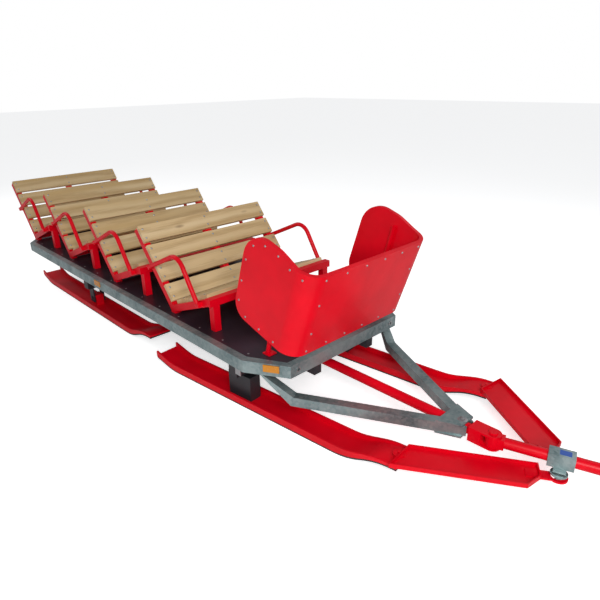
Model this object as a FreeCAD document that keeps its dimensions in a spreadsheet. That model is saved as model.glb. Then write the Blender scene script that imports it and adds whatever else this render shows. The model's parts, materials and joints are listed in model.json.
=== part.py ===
# Passenger sled: four slatted benches on a chamfered deck, carried by four skis and steered by
# its tow bar.  +Z is up and the front of the sled looks along -Y.  While it is built, y is
# measured from the legs of the first bench and z from the ground; the files are written with
# the origin at the bottom centre of the whole sled.
import FreeCAD, Part
import Sketcher
import math
import os
import re

sizes = {
    # deck: chamfered frame, floor and the lashing holes in its front beam
    "deckWidth": 1300, "deckHeight": 440, "beamFront": -710, "sideFront": -450,
    "beamRear": 3250, "sideRear": 3070, "beamHalf": 500, "railHeight": 80,
    "railWall": 50, "floorThick": 18, "lashRadius": 9, "lashAcross": 440, "lashDepth": 40,
    # chassis under the deck
    "chassisTube": 60, "chassisGauge": 250, "bearerWidth": 50, "bearerCount": 5,
    "axleTube": 80, "axleHalf": 560,
    # skis: lengths are measured from each ski's pivot
    "skiGauge": 470, "skiWidth": 190, "skiRim": 14, "skiRimHeight": 44, "skiSole": 12,
    "noseRim": 4, "soleThick": 12, "soleInset": 3, "tipBend": 470, "tipLength": 440, "tipRise": 84,
    "tipKnee": 115, "tailBend": 420, "tailLength": 180, "tailRise": 50,
    "frontPivot": -220, "frontTail": 840, "frontNose": 1205, "hingeReach": 1170,
    "rearPivot": 2000, "rearTail": 1120, "rearNose": 1140,
    "kingPin": 20, "postWidth": 90, "postLength": 200, "postGap": 3, "runningFit": 0.05,
    "hangerGap": 5, "hangerPlate": 10, "hangerLength": 80, "hangerFoot": 60,
    "lugWidth": 70, "lugLength": 90, "rockPin": 12, "rockHeight": 98,
    # drawbar: two bent arms and a middle tube that ends in the yoke of the tow bar
    "drawbarHeight": 205, "apexReach": -1591, "armTube": 60, "armSplay": 28, "armBend": 1000,
    "armRise": 33, "armTip": 20, "apexPlate": 10, "apexDepth": 150,
    "middleRadius": 30, "yokeLength": 120, "yokeHalf": 44, "yokePlate": 12, "yokeThroat": 50,
    "yokeGap": 1, "tongueHeight": 60, "tongueHalf": 30, "tongueLength": 60,
    # tow bar, with the sleeve that the nose plates are pinned to
    "pivotReach": -1720, "towRadius": 30, "barrelRadius": 38, "towLength": 980, "towPin": 15, "pinProud": 6,
    "pinHead": 24, "headThick": 10, "sleeveAt": 330, "sleeveLength": 125, "sleeveHalf": 37,
    "crossHalf": 62, "crossDepth": 60, "crossThick": 10,
    "eyeRadius": 45, "eyeBore": 21, "eyeThick": 30, "eyeReach": 60, "eyeNeck": 50,
    "steerAtRest": 18, "steerShare": 0.33,
    # nose plates between the ski noses and the sleeve
    "platePin": 10, "platePinHalf": 45, "plateHeight": 118, "plateRim": 26, "plateWall": 7,
    "plateFloor": 6, "plateOuterRear": 118, "plateOuterFront": 112, "plateInner": 66,
    "plateSkew": 45, "plateCut": 70, "trayEnd": 85, "lugThick": 11, "lugStep": 13,
    "bossRadius": 46, "neckHalf": 30, "slotRadius": 30, "slotShift": 5, "slotSide": 3,
    "hingeBoss": 34, "washerRadius": 42, "washerThick": 6,
    # benches
    "benchCount": 4, "benchPitch": 900, "benchWidth": 1120, "benchTube": 50,
    "seatFront": 205, "seatRear": 30, "seatDepth": 450, "seatInset": 25, "seatStart": 15,
    "seatGap": 14, "legInset": 25, "backFoot": 398, "backLean": 39, "backStart": 100,
    "slatWidth": 130, "slatThick": 28, "slatGap": 28, "hoopRadius": 16, "hoopSide": 2,
    "hoopBend": 110, "hoopFoot": 90, "hoopStart": 165, "hoopReach": 280, "hoopHeight": 478,
    "hoopAlong": 405,
    # front board
    "boardHalf": 533, "boardWall": 26, "boardFoot": -723, "boardLean": 18.4, "boardBend": 120,
    "boardBase": 60, "boardTop": 615, "cheekDepth": 530, "cheekTop": 648, "cheekBase": 55,
    "earBend": 175, "heelBend": 105, "crestBend": 260, "crestStart": 110, "crestEnd": 260,
    "stayRadius": 15, "stayStart": -500, "stayLength": 640, "stayFoot": 60, "stayPlate": 8,
    "stayLean": 14.5,
    # amber reflectors
    "reflectorLength": 100, "reflectorHeight": 45, "reflectorThick": 6, "reflectorDrop": 8,
    "reflectorStart": 70, "reflectorAlong": 1450,
}

doc = FreeCAD.newDocument("PassengerSled")
sheet = doc.addObject("Spreadsheet::Sheet", "Sizes")
for row, (alias, value) in enumerate(sizes.items(), start=1):
    sheet.set("A%d" % row, alias)
    sheet.set("B%d" % row, str(value))
    sheet.setAlias("B%d" % row, alias)
doc.recompute()

sides = (("right", -1), ("left", 1))


def value(text):
    """Number that an expression on the sheet's sizes gives."""
    result = sheet.evalExpression(text)
    return float(getattr(result, "Value", result))


def sheetName(match):
    word = match.group(0)
    return "Sizes." + word if word in sizes else word


def bound(text):
    """Expression in which every size is read from the sheet."""
    return re.sub(r"[a-z][A-Za-z]+", sheetName, text)


def signed(sign, text):
    """The expression, or its negative on the right-hand side."""
    return text if sign > 0 else "-(%s)" % text


def place(thing, at, tilt=None, turn=None):
    """Bind the place of an object; tilt is about X and turn about Z."""
    if tilt or turn:
        axis = FreeCAD.Vector(1, 0, 0) if tilt else FreeCAD.Vector(0, 0, 1)
        thing.Placement = FreeCAD.Placement(FreeCAD.Vector(), FreeCAD.Rotation(axis, 1))
        thing.setExpression("Placement.Rotation.Angle", bound(tilt or turn))
    for axisName, text in zip("xyz", at):
        thing.setExpression("Placement.Base." + axisName, bound(text))


def box(name, extent, at, tilt=None, turn=None):
    thing = doc.addObject("Part::Box", name)
    for prop, text in zip(("Length", "Width", "Height"), extent):
        thing.setExpression(prop, bound(text))
    place(thing, at, tilt, turn)
    return thing


def rod(name, radius, height, at, tilt=None):
    thing = doc.addObject("Part::Cylinder", name)
    thing.setExpression("Radius", bound(radius))
    thing.setExpression("Height", bound(height))
    place(thing, at, tilt)
    return thing


def fuse(label, pieces):
    thing = doc.addObject("Part::MultiFuse", label)
    thing.Shapes = pieces
    thing.Label = label
    return thing


def cut(label, base, tool):
    thing = doc.addObject("Part::Cut", label)
    thing.Base = base
    thing.Tool = tool
    thing.Label = label
    return thing


def body(label, at=("0", "0", "0"), turn=None):
    thing = doc.addObject("PartDesign::Body", label)
    thing.Label = label
    place(thing, at, turn=turn)
    return thing


def blankSketch(owner, plane, level):
    """Empty sketch on one of the body's own planes, moved along its normal."""
    drawing = owner.newObject("Sketcher::SketchObject", owner.Label + "Sketch")
    origin = [f for f in owner.Origin.OriginFeatures if f.Role == plane + "_Plane"][0]
    drawing.AttachmentSupport = (origin, [""])
    drawing.MapMode = "FlatFace"
    drawing.setExpression("AttachmentOffset.Base.z", bound(level))
    return drawing


def pin(drawing, geometry, end, corner):
    """Bind one point of a sketch to the sheet."""
    for kind, text in zip(("DistanceX", "DistanceY"), corner):
        index = drawing.addConstraint(Sketcher.Constraint(kind, -1, 1, geometry, end, value(text)))
        drawing.setExpression("Constraints[%d]" % index, bound(text))


def outline(owner, plane, corners, level="0"):
    """Closed outline through bound corners; a corner's third entry is its bend radius."""
    drawing = blankSketch(owner, plane, level)
    count = len(corners)
    points = [FreeCAD.Vector(value(corner[0]), value(corner[1]), 0) for corner in corners]
    arrivals = []
    departures = []
    middles = []
    for i, corner in enumerate(corners):
        inward = (points[i - 1] - points[i]).normalize()
        onward = (points[(i + 1) % count] - points[i]).normalize()
        half = inward.getAngle(onward) / 2
        radius = value(corner[2]) if len(corner) > 2 else 0
        arrivals.append(points[i] + inward * (radius / math.tan(half)))
        departures.append(points[i] + onward * (radius / math.tan(half)))
        middles.append(points[i] + (inward + onward).normalize() * (radius / math.sin(half) - radius))
    for i in range(count):
        drawing.addGeometry(Part.LineSegment(departures[i], arrivals[(i + 1) % count]))
    for i, corner in enumerate(corners):
        before = (i - 1) % count
        if len(corner) == 2:
            drawing.addConstraint(Sketcher.Constraint("Coincident", before, 2, i, 1))
            pin(drawing, i, 1, corner)
            continue
        anticlockwise = (points[i] - points[i - 1]).cross(points[(i + 1) % count] - points[i]).z > 0
        first, last = (arrivals[i], departures[i]) if anticlockwise else (departures[i], arrivals[i])
        near, far = (1, 2) if anticlockwise else (2, 1)
        arc = drawing.addGeometry(Part.Arc(first, middles[i], last))
        spot = drawing.addGeometry(Part.Point(points[i]), True)
        drawing.addConstraint(Sketcher.Constraint("Tangent", before, 2, arc, near))
        drawing.addConstraint(Sketcher.Constraint("Tangent", arc, far, i, 1))
        drawing.addConstraint(Sketcher.Constraint("PointOnObject", spot, 1, before))
        drawing.addConstraint(Sketcher.Constraint("PointOnObject", spot, 1, i))
        pin(drawing, spot, 1, corner)
        index = drawing.addConstraint(Sketcher.Constraint("Radius", arc, value(corner[2])))
        drawing.setExpression("Constraints[%d]" % index, bound(corner[2]))
    return drawing


def rectangle(left, right, front, rear):
    return [(left, front), (right, front), (right, rear), (left, rear)]


def circles(owner, plane, spots, radius, level="0"):
    """Sketch of like circles with bound centres and radius."""
    drawing = blankSketch(owner, plane, level)
    for i, (x, y) in enumerate(spots):
        centre = FreeCAD.Vector(value(x), value(y), 0)
        drawing.addGeometry(Part.Circle(centre, FreeCAD.Vector(0, 0, 1), value(radius)))
        pin(drawing, i, 3, (x, y))
        index = drawing.addConstraint(Sketcher.Constraint("Radius", i, value(radius)))
        drawing.setExpression("Constraints[%d]" % index, bound(radius))
    return drawing


def feature(kind, owner, drawing, length, symmetric=False, backward=False):
    thing = owner.newObject("PartDesign::" + kind, owner.Label + kind)
    thing.Profile = drawing
    thing.setExpression("Length", bound(length))
    thing.SideType = "Symmetric" if symmetric else "One side"
    thing.Reversed = backward
    return thing


def pad(owner, drawing, length, symmetric=False, backward=False):
    return feature("Pad", owner, drawing, length, symmetric, backward)


def pocket(owner, drawing, length, symmetric=False, backward=False):
    return feature("Pocket", owner, drawing, length, symmetric, backward)


def tube(points, radius, bend):
    """Round tube along straight runs joined by tangent arcs."""
    spots = [FreeCAD.Vector(*p) for p in points]
    edges = []
    start = spots[0]
    for before, corner, after in zip(spots, spots[1:], spots[2:]):
        inward = (before - corner).normalize()
        onward = (after - corner).normalize()
        half = inward.getAngle(onward) / 2
        reach = bend / math.tan(half)
        middle = corner + (inward + onward).normalize() * (bend / math.sin(half) - bend)
        first = corner + inward * reach
        last = corner + onward * reach
        edges.append(Part.LineSegment(start, first).toShape())
        edges.append(Part.Arc(first, middle, last).toShape())
        start = last
    edges.append(Part.LineSegment(start, spots[-1]).toShape())
    section = Part.Wire(Part.makeCircle(radius, spots[0], spots[1] - spots[0]))
    return Part.Wire(edges).makePipeShell([section], True, True)


# Deck frame, floor and lashing holes
def deckCorners(inset):
    """Deck plan with its four chamfered corners, moved inwards by inset."""
    beam = "(beamHalf - 0.4 * %s)" % inset
    half = "(deckWidth / 2 - %s)" % inset
    front = "beamFront + %s" % inset
    rear = "beamRear - %s" % inset
    sideStart = "sideFront + 0.4 * %s" % inset
    sideEnd = "sideRear - 0.4 * %s" % inset
    right = [("-" + beam, front), ("-" + half, sideStart), ("-" + half, sideEnd), ("-" + beam, rear)]
    return right + [(x[1:], y) for x, y in reversed(right)]


deckFrame = body("deck_frame")
pad(deckFrame, outline(deckFrame, "XY", deckCorners("0"), "deckHeight - railHeight"), "railHeight")
pocket(deckFrame, outline(deckFrame, "XY", deckCorners("railWall"), "deckHeight"), "railHeight")
lashSpots = [("-lashAcross", "deckHeight - lashDepth"), ("lashAcross", "deckHeight - lashDepth")]
pocket(deckFrame, circles(deckFrame, "XZ", lashSpots, "lashRadius", "-beamFront"), "railWall")
deckFloor = body("deck_floor")
pad(deckFloor, outline(deckFloor, "XY", deckCorners("railWall"), "deckHeight - floorThick"), "floorThick")

# Chassis: two long rails under the frame, bearers under the floor and two cross beams
railBase = "deckHeight - 2 * railHeight"
axleBase = "(deckHeight - 2 * railHeight - axleTube)"
members = []
for side, sign in sides:
    across = signed(sign, "chassisGauge") + " - chassisTube / 2"
    railLength = "beamRear - beamFront - railWall"
    members.append(box("chassisRail_" + side, ("chassisTube", railLength, "railHeight"),
                       (across, "beamFront + railWall / 2", railBase)))
    bearer = ("chassisTube", "bearerWidth", "railHeight - floorThick")
    for i in range(int(value("bearerCount"))):
        along = "sideFront + %d * (sideRear - sideFront) / (bearerCount - 1) - bearerWidth / 2" % i
        members.append(box("bearer_%s_%d" % (side, i), bearer, (across, along, "deckHeight - railHeight")))
fuse("chassis_rails", members)

frontBeam = box("frontBeam", ("2 * axleHalf", "axleTube", "axleTube"),
                ("-axleHalf", "frontPivot - axleTube / 2", axleBase))
bores = [rod("kingBore_" + side, "kingPin + runningFit", "axleTube",
             (signed(sign, "skiGauge"), "frontPivot", axleBase)) for side, sign in sides]
cut("front_axle_beam", frontBeam, fuse("kingBores", bores))
rearBeam = box("rearBeam", ("2 * axleHalf", "axleTube", "axleTube"),
               ("-axleHalf", "rearPivot - axleTube / 2", axleBase))
rearBeam.Label = "rear_axle_beam"


# Skis: a dished upper of red plastic on a black sole, both bent up at the nose and tail
def skiSide(tail, nose, low, high, highNose):
    """Side outline of a layer of a ski; low to highNose are heights over the upper's underside."""
    bends = []
    for level, noseLevel in ((low, low), (high, highNose)):
        base = "soleThick + " + level
        bends.append([(tail, base + " + tailRise"),
                      (tail + " - tailLength", base, "tailBend"),
                      ("-%s + tipLength - tipKnee" % nose, base, "tipBend"),
                      ("-%s + tipKnee" % nose, "soleThick + tipRise + " + noseLevel, "tipBend"),
                      ("-" + nose, "soleThick + tipRise + " + noseLevel)])
    return bends[0] + bends[1][::-1]


def skiUpper(label, tail, nose, at, turn=None):
    upper = body(label, at, turn)
    side = skiSide(tail, nose, "0", "skiRimHeight", "(skiSole + noseRim)")
    pad(upper, outline(upper, "YZ", side), "skiWidth", symmetric=True)
    dish = skiSide(tail, nose, "skiSole", "2 * skiRimHeight", "2 * skiRimHeight")
    pocket(upper, outline(upper, "YZ", dish), "skiWidth - 2 * skiRim", symmetric=True)
    return upper


def skiRunner(label, tail, nose, at, turn=None):
    runner = body(label, at, turn)
    side = skiSide(tail, nose, "(-soleThick)", "0", "0")
    pad(runner, outline(runner, "YZ", side), "skiWidth - 2 * soleInset", symmetric=True)


skiTurn = "steerAtRest * steerShare"
soleTop = "(soleThick + skiSole)"
hingeFloor = "(soleThick + tipRise)"
for side, sign in sides:
    pivot = (signed(sign, "skiGauge"), "frontPivot", "0")
    ski = skiUpper("front_ski_" + side, "frontTail", "frontNose", pivot, skiTurn)
    hinge = [("0", "-hingeReach")]
    pad(ski, circles(ski, "XY", hinge, "hingeBoss", hingeFloor),
        "plateHeight - 0.5 - " + hingeFloor)
    pad(ski, circles(ski, "XY", hinge, "platePin", hingeFloor),
        "plateHeight + 2 * lugThick - " + hingeFloor)
    skiRunner("front_runner_" + side, "frontTail", "frontNose", pivot, skiTurn)
    post = box("postBlock_" + side, ("postWidth", "postLength", axleBase + " - postGap - " + soleTop),
               ("-postWidth / 2", "-postLength / 2", soleTop))
    king = rod("kingPin_" + side, "kingPin", "axleTube + postGap - 1", ("0", "0", axleBase + " - postGap"))
    place(fuse("front_ski_post_" + side, [post, king]), pivot, turn=skiTurn)

    rearAt = (signed(sign, "skiGauge"), "rearPivot", "0")
    ski = skiUpper("rear_ski_" + side, "rearTail", "rearNose", rearAt)
    lug = rectangle("-lugWidth / 2", "lugWidth / 2", "-lugLength / 2", "lugLength / 2")
    pad(ski, outline(ski, "XY", lug, soleTop + " - 2"), "rockHeight + 30 - " + soleTop)
    rockBore = circles(ski, "YZ", [("0", "rockHeight")], "rockPin + runningFit")
    pocket(ski, rockBore, "skiWidth", symmetric=True)
    skiRunner("rear_runner_" + side, "rearTail", "rearNose", rearAt)
    cheek = "(lugWidth / 2 + hangerGap)"
    wall = ("hangerPlate", "hangerLength", axleBase + " - hangerFoot")
    cheeks = [box("hangerCheek_%s%s" % (side, name), wall, (x, "-hangerLength / 2", "hangerFoot"))
              for name, x in (("In", cheek), ("Out", "-%s - hangerPlate" % cheek))]
    rockPin = doc.addObject("Part::Cylinder", "rockPin_" + side)
    rockPin.Placement.Rotation = FreeCAD.Rotation(FreeCAD.Vector(0, 1, 0), 90)
    rockPin.setExpression("Radius", bound("rockPin"))
    rockPin.setExpression("Height", bound("2 * (%s + 2 * hangerPlate)" % cheek))
    place(rockPin, ("-%s - 2 * hangerPlate" % cheek, "0", "rockHeight"))
    place(fuse("rear_hanger_" + side, cheeks + [rockPin]), rearAt)

# Drawbar: bent arms that meet at the apex, a plate over and under them, and the middle tube
armLow = "drawbarHeight - armTube / 2"
armHigh = "drawbarHeight + armTube / 2"
frameBase = "(deckHeight - railHeight)"
mitre = "(armBend + armTube * tan(armRise / 2))"
for side, sign in sides:
    bar = body("arm_" + side, ("0", "apexReach", "0"), signed(-sign, "armSplay"))
    bends = [("armTip", armLow), (mitre, armLow),
             (mitre + " + (%s - %s) / tan(armRise)" % (frameBase, armLow), frameBase),
             ("armBend + (%s - (%s)) / tan(armRise)" % (frameBase, armHigh), frameBase),
             ("armBend", armHigh), ("armTip", armHigh)]
    pad(bar, outline(bar, "YZ", bends), "armTube", symmetric=True)
    slab = box("armSlab_" + side, ("2 * middleRadius", "2 * apexDepth", "2 * armTube"),
               ("-middleRadius", "apexReach - apexDepth", "drawbarHeight - armTube"))
    cut("drawbar_arm_" + side, bar, slab)
apexPlates = []
for name, level in (("Upper", armHigh), ("Lower", armLow + " - apexPlate")):
    plate = body("apexPlate" + name, ("0", "apexReach", "0"))
    rearHalf = "(apexDepth * tan(armSplay) + armTube / 2 / cos(armSplay))"
    trapezoid = [("-armTube", "armTip"), ("armTube", "armTip"),
                 (rearHalf, "apexDepth"), ("-" + rearHalf, "apexDepth")]
    pad(plate, outline(plate, "XY", trapezoid, level), "apexPlate")
    apexPlates.append(plate)
fuse("drawbar_plates", apexPlates)

yokeRear = "pivotReach + yokeLength"
beamFace = "(frontPivot - axleTube / 2)"
middle = body("middle_tube")
pad(middle, circles(middle, "XZ", [("0", "drawbarHeight")], "middleRadius", "-" + beamFace),
    "%s - (%s)" % (beamFace, yokeRear))

yoke = body("tow_yoke", ("0", "pivotReach", "0"))
yokeBase = "drawbarHeight - tongueHeight / 2 - yokeGap - yokePlate"
yokeDepth = "(tongueHeight + 2 * yokeGap + 2 * yokePlate)"
pad(yoke, outline(yoke, "XY", rectangle("-yokeHalf", "yokeHalf", "0", "yokeLength"), yokeBase), yokeDepth)
pad(yoke, circles(yoke, "XY", [("0", "0")], "yokeHalf", yokeBase), yokeDepth)
throat = rectangle("-2 * yokeHalf", "2 * yokeHalf", "-2 * yokeHalf", "yokeThroat")
throatTop = "drawbarHeight + tongueHeight / 2 + yokeGap"
pocket(yoke, outline(yoke, "XY", throat, throatTop), "tongueHeight + 2 * yokeGap")
pinBore = circles(yoke, "XY", [("0", "0")], "towPin + runningFit", yokeBase + " + " + yokeDepth)
pocket(yoke, pinBore, yokeDepth)

# Tow bar: tube, pivot barrel and pin, eye, and the sleeve with the two plate pins
towAt = ("0", "pivotReach", "0")
tow = body("tow_tube", towAt, "steerAtRest")
towStart = circles(tow, "XZ", [("0", "drawbarHeight")], "towRadius", "tongueLength")
pad(tow, towStart, "towLength - tongueLength")
tongueBase = "drawbarHeight - tongueHeight / 2"
tongue = rectangle("-tongueHalf", "tongueHalf", "-tongueLength", "0")
pad(tow, outline(tow, "XY", tongue, tongueBase), "tongueHeight")
pad(tow, circles(tow, "XY", [("0", "0")], "barrelRadius", tongueBase), "tongueHeight")
pinStart = circles(tow, "XY", [("0", "0")], "towPin", yokeBase + " - pinProud")
pad(tow, pinStart, yokeDepth + " + 2 * pinProud")
pad(tow, circles(tow, "XY", [("0", "0")], "pinHead", yokeBase + " + " + yokeDepth + " + 0.5"), "headThick")

sleeve = cut("sleeveTube",
             box("sleeveBlock", ("2 * sleeveHalf", "sleeveLength", "2 * sleeveHalf"),
                 ("-sleeveHalf", "-sleeveAt - sleeveLength / 2", "drawbarHeight - sleeveHalf")),
             rod("sleeveBore", "towRadius + runningFit", "sleeveLength",
                 ("0", "-sleeveAt + sleeveLength / 2", "drawbarHeight"), tilt="90"))
pinFoot = "(plateHeight - 2 * lugThick)"
sleeveBase = "drawbarHeight - sleeveHalf"
fastenings = [sleeve, box("crossPlate", ("2 * crossHalf", "crossDepth", "crossThick"),
                          ("-crossHalf", "-sleeveAt - crossDepth / 2", sleeveBase + " - crossThick"))]
for side, sign in sides:
    across = signed(sign, "platePinHalf")
    fastenings += [rod("platePin_" + side, "platePin", sleeveBase + " - " + pinFoot,
                       (across, "-sleeveAt", pinFoot)),
                   rod("plateNut_" + side, "1.7 * platePin", "lugThick", (across, "-sleeveAt", pinFoot)),
                   rod("plateWasher_" + side, "washerRadius", "washerThick",
                       (across, "-sleeveAt", "plateHeight + lugThick + lugStep + 3"))]
place(fuse("tow_sleeve", fastenings), towAt, turn="steerAtRest")

eye = body("tow_eye", towAt, "steerAtRest")
eyeCentre = "-(towLength + eyeReach)"
eyeBase = "drawbarHeight - eyeThick / 2"
pad(eye, circles(eye, "XY", [("0", eyeCentre)], "eyeRadius", eyeBase), "eyeThick")
neck = rectangle("-eyeNeck / 2", "eyeNeck / 2", eyeCentre, "-towLength")
pad(eye, outline(eye, "XY", neck, eyeBase), "eyeThick")
pocket(eye, circles(eye, "XY", [("0", eyeCentre)], "eyeBore", eyeBase + " + eyeThick"), "eyeThick")

# Nose plates: shallow trays hinged on the ski noses, with an open slot round the sleeve's pin
for side, sign in sides:
    hingeX = "(%s + hingeReach * sin(%s))" % (signed(sign, "skiGauge"), skiTurn)
    hingeY = "(frontPivot - hingeReach * cos(%s))" % skiTurn
    pinSide = signed(sign, "platePinHalf")
    pinX = "(%s * cos(steerAtRest) + sleeveAt * sin(steerAtRest))" % pinSide
    pinY = "(pivotReach + %s * sin(steerAtRest) - sleeveAt * cos(steerAtRest))" % pinSide
    heading = "atan((%s - %s) / (%s - %s))" % (pinX, hingeX, hingeY, pinY)
    reach = "sqrt((%s - %s) ^ 2 + (%s - %s) ^ 2)" % (pinX, hingeX, hingeY, pinY)
    plate = body("nose_plate_" + side, (hingeX, hingeY, "0"), heading)

    def tray(wall):
        """Plan of the tray, moved inwards by wall."""
        rim = "(%s)" % wall
        tip = "-(%s) + trayEnd + %s" % (reach, rim)
        return [(signed(sign, "plateOuterRear - " + rim), "plateSkew - " + rim),
                (signed(sign, "plateOuterFront - " + rim), "%s + plateCut - %s / 2" % (tip, rim)),
                (signed(sign, "neckHalf - %s / 2" % rim), tip),
                (signed(-sign, "plateInner - " + rim), tip),
                (signed(-sign, "plateInner - " + rim), "-plateSkew - " + rim)]

    pad(plate, outline(plate, "XY", tray("0"), "plateHeight"), "plateRim")
    rimTop = "plateHeight + plateRim"
    pocket(plate, outline(plate, "XY", tray("plateWall"), rimTop), "plateRim - plateFloor")
    pad(plate, circles(plate, "XY", [("0", "0")], "hingeBoss", "plateHeight"), "lugThick")
    lugBase = "plateHeight + lugStep" if sign > 0 else "plateHeight"
    boss = [("0", "-(%s)" % reach)]
    neckLines = rectangle("-neckHalf", "neckHalf", boss[0][1], boss[0][1] + " + trayEnd + plateCut")
    pad(plate, outline(plate, "XY", neckLines, lugBase), "lugThick")
    pad(plate, circles(plate, "XY", boss, "bossRadius", lugBase), "lugThick")
    pocket(plate, circles(plate, "XY", [("0", "0")], "platePin + runningFit", rimTop), "2 * plateRim")
    hole = [(signed(-sign, "slotSide"), boss[0][1] + " + slotShift")]
    pocket(plate, circles(plate, "XY", hole, "slotRadius", rimTop), "2 * plateRim")

# Benches: tube frame with arm hoops, three seat slats and four back slats each
seatTilt = "atan((seatFront - seatRear) / seatDepth)"
seatRun = "sqrt(seatDepth ^ 2 + (seatFront - seatRear) ^ 2)"
seatPitch = "(slatWidth + seatGap)"
slatPitch = "(slatWidth + slatGap)"
for number in range(1, int(value("benchCount")) + 1):
    along = "%d * benchPitch" % (number - 1)
    tag = "bench%d" % number

    def onRail(offset, lift):
        """Height and place along the bench of a point on the sloping seat rail."""
        return ("%s + (%s) * cos(%s) + (%s) * sin(%s)" % (along, offset, seatTilt, lift, seatTilt),
                "deckHeight + seatFront - benchTube / 2 - (%s) * sin(%s) + (%s) * cos(%s)"
                % (offset, seatTilt, lift, seatTilt))

    def onBack(offset, lift):
        """The same for a point on the front face of the leaning uprights."""
        return ("%s + backFoot + (%s) * sin(backLean) - (%s) * cos(backLean)" % (along, offset, lift),
                "deckHeight + (%s) * cos(backLean) + (%s) * sin(backLean)" % (offset, lift))

    members = []
    uprightFoot = "benchTube * tan(backLean)"
    uprightLength = "backStart + 4 * slatWidth + 3 * slatGap - " + uprightFoot
    for side, across in (("Right", "-benchWidth / 2"), ("Left", "benchWidth / 2 - benchTube")):
        members.append(box(tag + "Rail" + side, ("benchTube", seatRun, "benchTube"),
                           (across,) + onRail("0", "0"), tilt="-" + seatTilt))
        inset = across + (" + legInset" if side == "Right" else " - legInset")
        members.append(box(tag + "Leg" + side, ("benchTube", "benchTube", "seatFront"),
                           (inset, along + " - benchTube / 2", "deckHeight")))
        members.append(box(tag + "Heel" + side, ("benchTube", "benchTube", "seatRear"),
                           (across, along + " + seatDepth - benchTube / 2", "deckHeight")))
    uprights = (("Right", "-benchWidth / 2"), ("Middle", "-benchTube / 2"),
                ("Left", "benchWidth / 2 - benchTube"))
    for name, across in uprights:
        members.append(box(tag + "Upright" + name, ("benchTube", "benchTube", uprightLength),
                           (across,) + onBack(uprightFoot, "0"), tilt="-backLean"))
    hoopX = "(benchWidth / 2 + hoopSide + hoopRadius)"
    members.append(box(tag + "FrontRail", ("benchWidth", "benchTube", "benchTube"),
                       ("-benchWidth / 2", along + " - benchTube / 2",
                        "deckHeight + seatFront - benchTube / 2")))
    members.append(box(tag + "RearRail", ("benchWidth", "benchTube / 2", "benchTube"),
                       ("-benchWidth / 2",) + onRail(seatRun + " - benchTube / 2", "0"),
                       tilt="-" + seatTilt))
    stub = "(hoopSide + 2 * hoopRadius + benchTube / 2)"
    hoopEnd = onBack("hoopAlong", "-benchTube / 2")
    path = [(along + " + hoopFoot", "deckHeight + hoopStart"),
            (along + " + hoopReach", "deckHeight + hoopHeight"), hoopEnd]
    for side, sign in sides:
        hoop = doc.addObject("Part::Feature", tag + "Hoop_" + side)
        hoop.Shape = tube([(sign * value(hoopX), value(y), value(z)) for y, z in path],
                          value("hoopRadius"), value("hoopBend"))
        stubX = "(benchWidth - benchTube) / 2" if sign > 0 else "-(benchWidth - benchTube) / 2 - " + stub
        heel = onRail("hoopFoot - 2 * hoopRadius", "hoopRadius / 2")
        members += [hoop,
                    box(tag + "StubHigh_" + side, (stub, "hoopRadius", "2 * hoopRadius"),
                        (stubX,) + onBack("hoopAlong - hoopRadius", "-benchTube / 2"), tilt="-backLean"),
                    box(tag + "StubLow_" + side, (stub, "2 * hoopRadius", "2 * hoopRadius"),
                        (stubX,) + heel, tilt="-" + seatTilt)]
    fuse("bench_%d_frame" % number, members)
    seats = [box("%sSeat%d" % (tag, i), ("benchWidth - 2 * seatInset", "slatWidth", "slatThick"),
                 ("-benchWidth / 2 + seatInset",)
                 + onRail("seatStart + %d * %s" % (i, seatPitch), "benchTube"),
                 tilt="-" + seatTilt) for i in range(3)]
    fuse("bench_%d_seat_slats" % number, seats)
    backs = [box("%sBack%d" % (tag, i), ("benchWidth", "slatThick", "slatWidth"),
                 ("-benchWidth / 2",) + onBack("backStart + %d * %s" % (i, slatPitch), "slatThick"),
                 tilt="-backLean") for i in range(4)]
    fuse("bench_%d_back_slats" % number, backs)


# Front board: a leaning sheet folded round the deck's front, with ear-shaped cheeks.  It is
# drawn square to its own lean: y runs back from the front face and z up the sheet.
board = doc.addObject("PartDesign::Body", "front_board_panel")
board.Label = "front_board_panel"
place(board, ("0", "boardFoot", "deckHeight"), tilt="boardLean")
inner = "(boardHalf - boardWall)"
innerBend = "boardBend - boardWall"
fold = [("-boardHalf", "cheekDepth"), ("-boardHalf", "0", "boardBend"), ("boardHalf", "0", "boardBend"),
        ("boardHalf", "cheekDepth"), (inner, "cheekDepth"), (inner, "boardWall", innerBend),
        ("-" + inner, "boardWall", innerBend), ("-" + inner, "cheekDepth")]
pad(board, outline(board, "XY", fold), "cheekTop")
ear = [("-boardBend", "boardBase"), ("crestStart", "boardBase"), ("cheekDepth", "cheekBase", "heelBend"),
       ("cheekDepth", "cheekTop", "earBend"), ("crestEnd", "cheekTop", "crestBend"),
       ("crestStart", "boardTop", "crestBend"), ("-boardBend", "boardTop")]
trim = outline(board, "YZ", ear)
frameCorners = rectangle("-2 * boardBend", "2 * cheekDepth", "-cheekTop", "2 * cheekTop")
first = trim.GeometryCount
for i, corner in enumerate(frameCorners):
    ends = [FreeCAD.Vector(value(y), value(z), 0) for y, z in (corner, frameCorners[(i + 1) % 4])]
    trim.addGeometry(Part.LineSegment(*ends))
for i, corner in enumerate(frameCorners):
    trim.addConstraint(Sketcher.Constraint("Coincident", first + (i - 1) % 4, 2, first + i, 1))
    pin(trim, first + i, 1, corner)
pocket(board, trim, "2 * deckWidth", symmetric=True)

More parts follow.
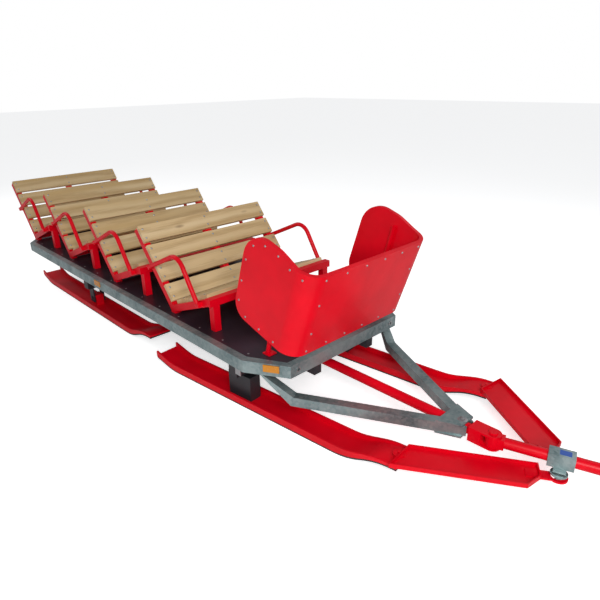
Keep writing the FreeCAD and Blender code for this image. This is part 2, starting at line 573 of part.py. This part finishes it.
stays = []
for side, sign in sides:
    x = signed(sign, "(boardHalf - boardWall - stayRadius)")
    stays.append(rod("stay_" + side, "stayRadius", "stayLength",
                     (x, "stayStart", "deckHeight + stayPlate / 2"), tilt="stayLean"))
    edge = "stayFoot - stayRadius" if sign > 0 else "stayRadius"
    stays.append(box("stayPlate_" + side, ("stayFoot", "stayFoot", "stayPlate"),
                     (x + " - (%s)" % edge, "stayStart - stayFoot / 2", "deckHeight")))
fuse("front_board_stays", stays)

# Amber reflectors on the front chamfers and on the sides
chamfer = "atan((deckWidth / 2 - beamHalf) / (sideFront - beamFront))"
level = "deckHeight - reflectorDrop - reflectorHeight"
extent = ("reflectorThick", "reflectorLength", "reflectorHeight")
chamferX = "beamHalf + reflectorStart * sin(%s)" % chamfer
chamferY = "beamFront + reflectorStart * cos(%s)" % chamfer
lamps = [box("chamferLamp_left", extent, (chamferX, chamferY, level), turn="-" + chamfer),
         box("chamferLamp_right", extent,
             ("-(%s) - reflectorThick * cos(%s)" % (chamferX, chamfer),
              "%s - reflectorThick * sin(%s)" % (chamferY, chamfer), level), turn=chamfer),
         box("sideLamp_left", extent, ("deckWidth / 2", "reflectorAlong", level)),
         box("sideLamp_right", extent, ("-deckWidth / 2 - reflectorThick", "reflectorAlong", level))]
fuse("side_reflectors", lamps)

doc.recompute()

nodes = [thing for thing in doc.Objects if not thing.InList and hasattr(thing, "Shape")]
for thing in doc.Objects:
    if "Invalid" in thing.State or "Error" in thing.State:
        raise RuntimeError("failed object: " + thing.Label)
for thing in nodes:
    if thing.Shape.isNull() or not thing.Shape.isValid():
        raise RuntimeError("bad shape: " + thing.Label)

whole = FreeCAD.BoundBox()
for thing in nodes:
    whole.add(thing.Shape.BoundBox)
shift = FreeCAD.Vector(-whole.Center.x, -whole.Center.y, -whole.ZMin)
os.makedirs("parts", exist_ok=True)
for thing in nodes:
    shape = thing.Shape.copy()
    shape.translate(shift)
    shape.exportStep("parts/%s.step" % thing.Label)
print("nodes", len(nodes), "shift", [round(c, 3) for c in shift])
for thing in nodes:
    print(thing.Label, len(thing.Shape.Solids), round(thing.Shape.Volume))
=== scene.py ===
import bpy
import bmesh
import json
import math
from mathutils import Matrix, Vector


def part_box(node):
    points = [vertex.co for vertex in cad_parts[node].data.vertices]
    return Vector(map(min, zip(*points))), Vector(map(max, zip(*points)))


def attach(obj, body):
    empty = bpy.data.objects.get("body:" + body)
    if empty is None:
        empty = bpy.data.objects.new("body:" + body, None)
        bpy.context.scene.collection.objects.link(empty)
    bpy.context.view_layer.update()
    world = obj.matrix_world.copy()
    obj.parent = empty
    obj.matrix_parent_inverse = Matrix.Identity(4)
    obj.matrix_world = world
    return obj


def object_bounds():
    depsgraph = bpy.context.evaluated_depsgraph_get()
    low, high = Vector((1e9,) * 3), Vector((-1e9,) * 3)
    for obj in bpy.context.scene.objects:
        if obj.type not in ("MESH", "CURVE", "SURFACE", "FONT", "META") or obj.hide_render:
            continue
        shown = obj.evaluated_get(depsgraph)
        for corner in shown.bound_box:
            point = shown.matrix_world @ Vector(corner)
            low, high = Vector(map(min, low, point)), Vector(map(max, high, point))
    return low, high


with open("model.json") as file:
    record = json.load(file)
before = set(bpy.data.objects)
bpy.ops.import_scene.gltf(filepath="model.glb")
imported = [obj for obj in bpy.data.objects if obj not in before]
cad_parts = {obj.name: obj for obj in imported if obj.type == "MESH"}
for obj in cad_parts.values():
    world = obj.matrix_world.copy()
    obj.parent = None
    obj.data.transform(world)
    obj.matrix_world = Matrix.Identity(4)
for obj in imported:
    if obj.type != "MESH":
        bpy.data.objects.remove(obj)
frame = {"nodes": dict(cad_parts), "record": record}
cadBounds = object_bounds()
nodes = frame["nodes"]
print("frame loaded:", len(nodes), "nodes")


class Sock:
    def __init__(self, mat, link):
        self.mat = mat
        self.link = link

    def maths(self, operation, other, swap=False):
        pair = (other, self) if swap else (self, other)
        return self.mat.node("ShaderNodeMath", {"operation": operation}, {0: pair[0], 1: pair[1]})[0]

    def __add__(self, other):
        return self.maths("ADD", other)

    def __radd__(self, other):
        return self.maths("ADD", other)

    def __sub__(self, other):
        return self.maths("SUBTRACT", other)

    def __rsub__(self, other):
        return self.maths("SUBTRACT", other, True)

    def __mul__(self, other):
        return self.maths("MULTIPLY", other)

    def __rmul__(self, other):
        return self.maths("MULTIPLY", other)

    def __gt__(self, other):
        return self.maths("GREATER_THAN", other)

    def __lt__(self, other):
        return self.maths("LESS_THAN", other)



class Finish:
    def __init__(self, name, **sockets):
        self.mat = bpy.data.materials.new(name)
        self.mat.use_nodes = True
        self.tree = self.mat.node_tree
        self.shader = self.tree.nodes["Principled BSDF"]
        for socket, value in sockets.items():
            self.shader.inputs[socket.replace("_", " ")].default_value = value

    def put(self, socket, value):
        if isinstance(value, Sock):
            self.tree.links.new(value.link, socket)
        else:
            socket.default_value = value

    def node(self, kind, settings=None, inputs=None):
        made = self.tree.nodes.new(kind)
        for key, value in (settings or {}).items():
            if key == "stops":
                ramp = made.color_ramp
                while len(ramp.elements) < len(value):
                    ramp.elements.new(0.5)
                for element, (at, colour) in zip(ramp.elements, value):
                    element.position = at
                    element.color = colour
            else:
                setattr(made, key, value)
        for key, value in (inputs or {}).items():
            self.put(made.inputs[key], value)
        return [Sock(self, out) for out in made.outputs]

    def feed(self, socket, value):
        self.put(self.shader.inputs[socket], value)

    def place(self, scale=(1, 1, 1)):
        spot = self.node("ShaderNodeTexCoord")[3]
        return self.node("ShaderNodeMapping", {}, {0: spot, 3: scale})[0]

    def noise(self, scale, detail=4.0, rough=0.55, stretch=(1, 1, 1)):
        return self.node("ShaderNodeTexNoise", {},
                         {"Vector": self.place(stretch), "Scale": scale, "Detail": detail, "Roughness": rough})[0]

    def mix(self, factor, first, second):
        made = self.tree.nodes.new("ShaderNodeMix")
        made.data_type = "RGBA"
        self.put(made.inputs[0], factor)
        self.put(made.inputs[6], first)
        self.put(made.inputs[7], second)
        return Sock(self, made.outputs[2])

    def bump(self, height, strength, distance):
        out = self.node("ShaderNodeBump", {}, {"Height": height, "Strength": strength, "Distance": distance})[0]
        self.feed("Normal", out)


def ramp(finish, value, low, high):
    return finish.node("ShaderNodeMapRange", {}, {0: value, 1: low, 2: high})[0]


redValues = {"base": (0.78, 0.0, 0.012, 1), "shade": (0.60, 0.0, 0.008, 1), "gloss": 0.3}


def redPaint():
    made = Finish("redPaint", Specular_IOR_Level=0.16, Coat_Weight=0.04, Coat_Roughness=0.15)
    cloud = made.noise(3.0, 3.0)
    made.feed("Base Color", made.mix(ramp(made, cloud, 0.35, 0.75), redValues["base"], redValues["shade"]))
    made.feed("Roughness", made.noise(60.0, 2.0) * 0.14 + redValues["gloss"])
    made.bump(made.noise(420.0, 1.0), 0.06, 0.0006)
    return made.mat


plasticValues = {"base": (0.82, 0.0, 0.012, 1), "shade": (0.56, 0.0, 0.008, 1), "pale": (0.78, 0.18, 0.17, 1),
                 "gloss": 0.34}


def redPlastic():
    made = Finish("redPlastic", Specular_IOR_Level=0.2, Coat_Weight=0.03, Coat_Roughness=0.2)
    cloud = made.noise(2.4, 3.0)
    scuff = ramp(made, made.noise(16.0, 6.0, 0.7, (1, 0.2, 1)), 0.66, 0.76)
    tone = made.mix(ramp(made, cloud, 0.3, 0.75), plasticValues["base"], plasticValues["shade"])
    made.feed("Base Color", made.mix(scuff * 0.35, tone, plasticValues["pale"]))
    made.feed("Roughness", scuff * 0.2 + cloud * 0.16 + plasticValues["gloss"])
    made.bump(made.noise(60.0, 3.0, 0.6, (1, 0.25, 1)), 0.07, 0.001)
    return made.mat


zincValues = {"pale": (0.30, 0.38, 0.38, 1), "dark": (0.10, 0.16, 0.17, 1), "spangle": (0.46, 0.52, 0.52, 1)}


def galvanised():
    made = Finish("galvanised", Metallic=0.75)
    cells = made.node("ShaderNodeTexVoronoi", {}, {"Vector": made.place(), "Scale": 60.0})
    patch = made.noise(5.0, 4.0)
    tone = made.mix(ramp(made, patch, 0.35, 0.7), zincValues["pale"], zincValues["dark"])
    grain = made.node("ShaderNodeSeparateColor", {}, {0: cells[1]})[0]
    made.feed("Base Color", made.mix(grain * 0.35, tone, zincValues["spangle"]))
    made.feed("Roughness", patch * 0.3 + 0.28)
    made.bump(patch, 0.1, 0.001)
    return made.mat


pineValues = {"pale": (0.70, 0.53, 0.30, 1), "warm": (0.56, 0.38, 0.17, 1), "grain": (0.40, 0.25, 0.10, 1),
              "knot": (0.20, 0.10, 0.04, 1), "boardLift": 9.0}


def pine():
    made = Finish("pine", Roughness=0.5)
    warp = made.noise(1.1, 3.0, 0.5, (0.5, 1.6, 1.6))
    spot = made.node("ShaderNodeSeparateXYZ", {}, {0: made.place((0.12, 5, 5))})
    rings = made.node("ShaderNodeMath", {"operation": "SINE"},
                      {0: (spot[1] * 0.6 + spot[2] + warp * 2.2 + spot[0]) * 11.0})[0]
    fibre = made.noise(16.0, 6.0, 0.6, (0.35, 10, 10))
    tint = made.noise(1.3, 1.0, 0.5, (0.3, pineValues["boardLift"], pineValues["boardLift"]))
    knots = made.node("ShaderNodeTexVoronoi", {}, {"Vector": made.place((1.1, 3.4, 3.4)), "Scale": 1.25})[0]
    knot = 1.0 - ramp(made, knots, 0.02, 0.075)
    ground = made.mix(ramp(made, tint, 0.35, 0.65), pineValues["pale"], pineValues["warm"])
    wood = made.mix(ramp(made, rings * 0.2 + fibre, 0.4, 1.05), ground, pineValues["grain"])
    made.feed("Base Color", made.mix(knot * 0.8, wood, pineValues["knot"]))
    made.feed("Roughness", fibre * 0.25 + 0.4)
    made.bump(fibre, 0.15, 0.001)
    return made.mat


def plywood():
    made = Finish("plywood", Specular_IOR_Level=0.22, Coat_Weight=0.04, Coat_Roughness=0.25)
    mesh = made.noise(240.0, 2.0)
    cloud = made.noise(2.2, 4.0)
    made.feed("Base Color", made.mix(ramp(made, cloud, 0.3, 0.8), (0.012, 0.006, 0.010, 1), (0.045, 0.026, 0.038, 1)))
    made.feed("Roughness", cloud * 0.25 + 0.2)
    made.bump(mesh, 0.12, 0.0008)
    return made.mat


def plain(name, colour, roughness, metallic=0.0, scale=120.0):
    made = Finish(name, Metallic=metallic)
    grain = made.noise(scale, 4.0)
    made.feed("Base Color", made.mix(grain * 0.5, colour, tuple(c * 0.6 for c in colour[:3]) + (1,)))
    made.feed("Roughness", grain * 0.2 + roughness)
    made.bump(grain, 0.1, 0.0006)
    return made.mat


finishes = {
    "red_paint": redPaint(),
    "red_plastic": redPlastic(),
    "galvanised": galvanised(),
    "pine": pine(),
    "plywood": plywood(),
    "black_paint": plain("blackPaint", (0.02, 0.02, 0.025, 1), 0.35),
    "black_runner": plain("blackRunner", (0.016, 0.016, 0.016, 1), 0.45),
    "amber": plain("amberLens", (0.6, 0.22, 0.01, 1), 0.15),
    "bare_steel": plain("bareSteel", (0.42, 0.42, 0.43, 1), 0.3, 0.9),
    "blue_label": plain("blueLabel", (0.02, 0.09, 0.42, 1), 0.35),
}
for entry in frame["record"]["subparts"]:
    piece = nodes[entry["node"]]
    piece.data.materials.clear()
    piece.data.materials.append(finishes[entry["material_slot"]])
print("finishes on the frame's nodes")

# soft edges on the parts of the frame
edgeValues = {"slats": (0.0035, 3), "ski_": (0.005, 3), "runner": (0.002, 2), "plate": (0.003, 2), "frame": (0.003, 2),
              "arm": (0.006, 3), "board": (0.004, 3), "sleeve": (0.003, 2), "beam": (0.003, 2), "yoke": (0.004, 2)}
for name, piece in nodes.items():
    for part, (width, segments) in edgeValues.items():
        if part in name:
            soft = piece.modifiers.new("softEdges", "BEVEL")
            soft.width = width
            soft.segments = segments
            soft.limit_method = "ANGLE"
            soft.angle_limit = math.radians(35)
            soft.harden_normals = True
            break
print("edges softened")


def keep(mesh, name, slotName, bodyName, smooth=False):
    data = bpy.data.meshes.new(name)
    mesh.to_mesh(data)
    mesh.free()
    data.materials.append(finishes[slotName])
    if smooth:
        data.polygons.foreach_set("use_smooth", [True] * len(data.polygons))
    made = bpy.data.objects.new(name, data)
    bpy.context.scene.collection.objects.link(made)
    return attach(made, bodyName)


def heads(name, spots, bodyName, slotName, radius, height, sides=16):
    mesh = bmesh.new()
    for spot, direction in spots:
        turn = Vector((0, 0, 1)).rotation_difference(Vector(direction)).to_matrix().to_4x4()
        for base, top, low, high in ((1.0, 0.86, 0.0, 0.5), (0.86, 0.4, 0.5, 1.0)):
            middle = Matrix.Translation((0, 0, (low + high) / 2 * height))
            bmesh.ops.create_cone(mesh, cap_ends=True, segments=sides, radius1=radius * base, radius2=radius * top,
                                  depth=height * (high - low), matrix=Matrix.Translation(spot) @ turn @ middle)
    bmesh.ops.remove_doubles(mesh, verts=mesh.verts, dist=radius * 0.01)
    return keep(mesh, name, slotName, bodyName)


deckLow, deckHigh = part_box("deck_frame")
deckTop = deckHigh.z
front = deckLow.y
middleX = (deckLow.x + deckHigh.x) / 2

# screws round the deck floor
screwValues = {"radius": 0.0065, "height": 0.002, "inset": 0.03, "count": 14}
floorLow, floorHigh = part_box("deck_floor")
span = floorHigh.y - floorLow.y - 0.5
spots = [((x, floorLow.y + 0.25 + i * span / (screwValues["count"] - 1), floorHigh.z), (0, 0, 1))
         for x in (floorLow.x + screwValues["inset"], floorHigh.x - screwValues["inset"])
         for i in range(screwValues["count"])]
heads("deckScrews", spots, "chassis", "bare_steel", screwValues["radius"], screwValues["height"])
print("deck screws set")

# rivets on the front board, in the board's own leaning frame
rivetValues = {"radius": 0.007, "height": 0.004, "lean": 18.4, "foot": 0.013, "half": 0.533, "inset": 0.028,
               "fold": 0.12, "top": 0.615, "base": 0.06,
               "ear": ((0.06, 0.587), (0.16, 0.59), (0.26, 0.615), (0.37, 0.615), (0.46, 0.565), (0.5, 0.45),
                       (0.505, 0.3), (0.5, 0.16), (0.42, 0.085), (0.29, 0.085), (0.16, 0.087))}
leanFrame = (Matrix.Translation((middleX, front - rivetValues["foot"], deckTop))
             @ Matrix.Rotation(math.radians(rivetValues["lean"]), 4, "X"))
rowHalf = rivetValues["half"] - rivetValues["fold"]
spots = []
for side in (-1, 1):
    spots += [((side * rivetValues["half"], back, up), (side, 0, 0)) for back, up in rivetValues["ear"]]
for i in range(6):
    across = -rowHalf + i * rowHalf / 2.5
    for up in (rivetValues["top"] - rivetValues["inset"], rivetValues["base"] + rivetValues["inset"]):
        spots.append(((across, 0, up), (0, -1, 0)))
for up in (0.22, 0.42):
    spots += [((-rowHalf, 0, up), (0, -1, 0)), ((rowHalf, 0, up), (0, -1, 0))]
turned = leanFrame.to_3x3()
spots = [(leanFrame @ Vector(spot), turned @ Vector(direction)) for spot, direction in spots]
heads("boardRivets", spots, "chassis", "bare_steel", rivetValues["radius"], rivetValues["height"])
print("board riveted")

# coach bolts that hold the slats to the uprights and seat rails
boltValues = {"radius": 0.008, "height": 0.004, "lean": 39.0, "seatDip": 21.25, "across": (-0.535, 0.0, 0.535),
              "pitch": 0.158, "seatPitch": 0.144}
for number in range(1, 5):
    low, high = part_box("bench_%d_back_slats" % number)
    lean = math.radians(boltValues["lean"])
    up = Vector((0, math.sin(lean), math.cos(lean)))
    out = Vector((0, -math.cos(lean), math.sin(lean)))
    corner = Vector((middleX, low.y, low.z + 0.028 * math.sin(lean)))
    spots = [(corner + up * (0.065 + i * boltValues["pitch"] + lift) + Vector((across, 0, 0)), out)
             for across in boltValues["across"] for i in range(4) for lift in (-0.035, 0.035)]
    low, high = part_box("bench_%d_seat_slats" % number)
    dip = math.radians(boltValues["seatDip"])
    along = Vector((0, math.cos(dip), -math.sin(dip)))
    rise = Vector((0, math.sin(dip), math.cos(dip)))
    corner = Vector((middleX, low.y, high.z)) + rise * 0.0
    start = Vector((middleX, low.y + 0.028 * math.sin(dip), high.z))
    spots += [(start + along * (0.065 + i * boltValues["seatPitch"]) + Vector((across, 0, 0)), rise)
              for across in (-0.51, 0.51) for i in range(3)]
    heads("benchBolts%d" % number, spots, "chassis", "bare_steel", boltValues["radius"], boltValues["height"])
print("slats bolted")

# ring collars round the lashing holes
collarValues = {"across": 0.44, "drop": 0.04, "hole": 0.0095, "rim": 0.016, "thick": 0.004}
mesh = bmesh.new()
for side in (-1, 1):
    place = Matrix.Translation((middleX + side * collarValues["across"], front, deckTop - collarValues["drop"]))
    place = place @ Matrix.Rotation(math.radians(90), 4, "X")
    ring = bmesh.ops.create_circle(mesh, cap_ends=False, segments=32, radius=collarValues["hole"], matrix=place)
    edges = list({edge for vert in ring["verts"] for edge in vert.link_edges})
    outer = bmesh.ops.extrude_edge_only(mesh, edges=edges)["geom"]
    verts = [item for item in outer if isinstance(item, bmesh.types.BMVert)]
    bmesh.ops.scale(mesh, verts=verts, vec=(collarValues["rim"] / collarValues["hole"],) * 3, space=place.inverted())
    faces = [item for item in outer if isinstance(item, bmesh.types.BMFace)]
    lifted = bmesh.ops.extrude_face_region(mesh, geom=faces)["geom"]
    bmesh.ops.translate(mesh, verts=[item for item in lifted if isinstance(item, bmesh.types.BMVert)],
                        vec=(0, -collarValues["thick"], 0))
bmesh.ops.recalc_face_normals(mesh, faces=mesh.faces)
keep(mesh, "lashingCollars", "bare_steel", "chassis")
print("collars set")


def block(name, low, high, slotName, bodyName, bevel=0.0, turn=None):
    mesh = bmesh.new()
    low, high = Vector(low), Vector(high)
    made = bmesh.ops.create_cube(mesh, size=1.0)
    bmesh.ops.scale(mesh, verts=made["verts"], vec=high - low)
    if bevel:
        bmesh.ops.bevel(mesh, geom=mesh.edges[:], offset=bevel, segments=3, profile=0.5, affect="EDGES", material=-1)
    bmesh.ops.translate(mesh, verts=mesh.verts[:], vec=(low + high) / 2)
    if turn:
        bmesh.ops.transform(mesh, matrix=turn, verts=mesh.verts[:])
    return keep(mesh, name, slotName, bodyName)


# light bracket under the near rail, with its lamp
bracketValues = {"along": 0.30, "width": 0.05, "drop": 0.05, "depth": 0.045}
x = deckLow.x + 0.01
y = front + bracketValues["along"]
z = deckLow.z
block("lightBracket", (x, y, z - bracketValues["drop"]), (x + 0.006, y + bracketValues["width"], z), "bare_steel",
      "chassis", 0.001)
block("lightBody", (x + 0.006, y + 0.004, z - bracketValues["drop"] + 0.004),
      (x + bracketValues["depth"], y + bracketValues["width"] - 0.004, z - 0.006), "black_paint", "chassis", 0.006)
print("light bracket set")

# apex bolt with its washer
apexValues = {"radius": 0.017, "height": 0.012, "washer": 0.027, "thick": 0.003}
low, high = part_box("drawbar_plates")
centre = Vector((middleX, low.y + 0.03, high.z))
heads("apexWasher", [(centre, (0, 0, 1))], "chassis", "bare_steel", apexValues["washer"], apexValues["thick"], 32)
heads("apexBolt", [(centre + Vector((0, 0, apexValues["thick"] * 0.5)), (0, 0, 1))], "chassis", "bare_steel",
      apexValues["radius"], apexValues["height"], 6)
print("apex bolted")

# blank blue label on the sleeve of the tow bar
labelValues = {"width": 0.04, "length": 0.055, "thick": 0.0006, "steer": 18.0, "reach": 0.345, "pivot": 1.01}
turn = (Matrix.Translation((middleX, front - labelValues["pivot"], 0))
        @ Matrix.Rotation(math.radians(labelValues["steer"]), 4, "Z"))
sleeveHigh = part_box("tow_sleeve")[1]
half = labelValues["width"] / 2
block("sleeveLabel", (-half, -labelValues["reach"] - labelValues["length"] / 2, sleeveHigh.z),
      (half, -labelValues["reach"] + labelValues["length"] / 2, sleeveHigh.z + labelValues["thick"]), "blue_label",
      "tow_bar", 0.0, turn)
print("label set")

# floor, world, lamps and camera
stageValues = {"floor": 40.0, "white": 1.0, "sky": 0.3, "lift": 0.62}
mesh = bmesh.new()
bmesh.ops.create_grid(mesh, x_segments=1, y_segments=1, size=stageValues["floor"])
floorData = bpy.data.meshes.new("floor")
mesh.to_mesh(floorData)
mesh.free()
floorPiece = bpy.data.objects.new("floor", floorData)
bpy.context.scene.collection.objects.link(floorPiece)
floorPiece.location.z = cadBounds[0][2] - 0.0005
floorMat = bpy.data.materials.new("paleFloor")
floorMat.use_nodes = True
tree = floorMat.node_tree
tree.nodes["Principled BSDF"].inputs["Base Color"].default_value = (0.93, 0.93, 0.93, 1)
tree.nodes["Principled BSDF"].inputs["Roughness"].default_value = 0.9
tree.nodes["Principled BSDF"].inputs["Specular IOR Level"].default_value = 0.1
eyes = tree.nodes.new("ShaderNodeLightPath")
glow = tree.nodes.new("ShaderNodeMix")
glow.data_type = "RGBA"
tree.links.new(eyes.outputs["Is Camera Ray"], glow.inputs[0])
glow.inputs[6].default_value = (0, 0, 0, 1)
glow.inputs[7].default_value = (1, 1, 1, 1)
tree.links.new(glow.outputs[2], tree.nodes["Principled BSDF"].inputs["Emission Color"])
tree.nodes["Principled BSDF"].inputs["Emission Strength"].default_value = stageValues["lift"]
floorData.materials.append(floorMat)

world = bpy.data.worlds.new("studio")
bpy.context.scene.world = world
world.use_nodes = True
tree = world.node_tree
back = tree.nodes["Background"]
back.inputs["Color"].default_value = (0.95, 0.97, 1.0, 1)
back.inputs["Strength"].default_value = stageValues["sky"]
rays = tree.nodes.new("ShaderNodeLightPath")
white = tree.nodes.new("ShaderNodeBackground")
white.inputs["Color"].default_value = (1, 1, 1, 1)
white.inputs["Strength"].default_value = stageValues["white"]
pick = tree.nodes.new("ShaderNodeMixShader")
seen = tree.nodes.new("ShaderNodeMath")
seen.operation = "MAXIMUM"
tree.links.new(rays.outputs["Is Camera Ray"], seen.inputs[0])
tree.links.new(rays.outputs["Is Transmission Ray"], seen.inputs[1])
tree.links.new(seen.outputs[0], pick.inputs[0])
tree.links.new(back.outputs[0], pick.inputs[1])
tree.links.new(white.outputs[0], pick.inputs[2])
tree.links.new(pick.outputs[0], tree.nodes["World Output"].inputs[0])

lampValues = {"keyLamp": (2.2, 230, (-3.2, -4.6, 3.2)), "fillLamp": (4.0, 40, (4.5, -2.0, 4.0)),
              "rearLamp": (4.0, 90, (-1.5, 5.5, 4.5))}
for name, (size, power, place) in lampValues.items():
    data = bpy.data.lights.new(name, "AREA")
    data.size = size
    data.energy = power
    made = bpy.data.objects.new(name, data)
    made.location = place
    made.rotation_euler = (Vector((0, 0, 0.4)) - Vector(place)).to_track_quat("-Z", "Y").to_euler()
    bpy.context.scene.collection.objects.link(made)

cameraValues = {"azimuth": -43.695, "elevation": 22.793, "roll": -0.916, "focal": 529.37,
                "offset": (-2.293, -1.963, 1.534)}
cameraData = bpy.data.cameras.new("photoCamera")
cameraData.sensor_width = 36.0
cameraData.lens = cameraValues["focal"] / 600.0 * cameraData.sensor_width
camera = bpy.data.objects.new("photoCamera", cameraData)
azimuth = math.radians(cameraValues["azimuth"])
elevation = math.radians(cameraValues["elevation"])
look = -Vector((math.sin(azimuth) * math.cos(elevation), -math.cos(azimuth) * math.cos(elevation),
                math.sin(elevation)))
camera.rotation_euler = (look.to_track_quat("-Z", "Y").to_matrix()
                         @ Matrix.Rotation(math.radians(cameraValues["roll"]), 3, "Z")).to_euler()
camera.location = Vector((middleX, front, deckTop)) + Vector(cameraValues["offset"])
bpy.context.scene.collection.objects.link(camera)
bpy.context.scene.camera = camera
bpy.context.scene.view_settings.view_transform = "Standard"
print("stage, lamps and camera set")
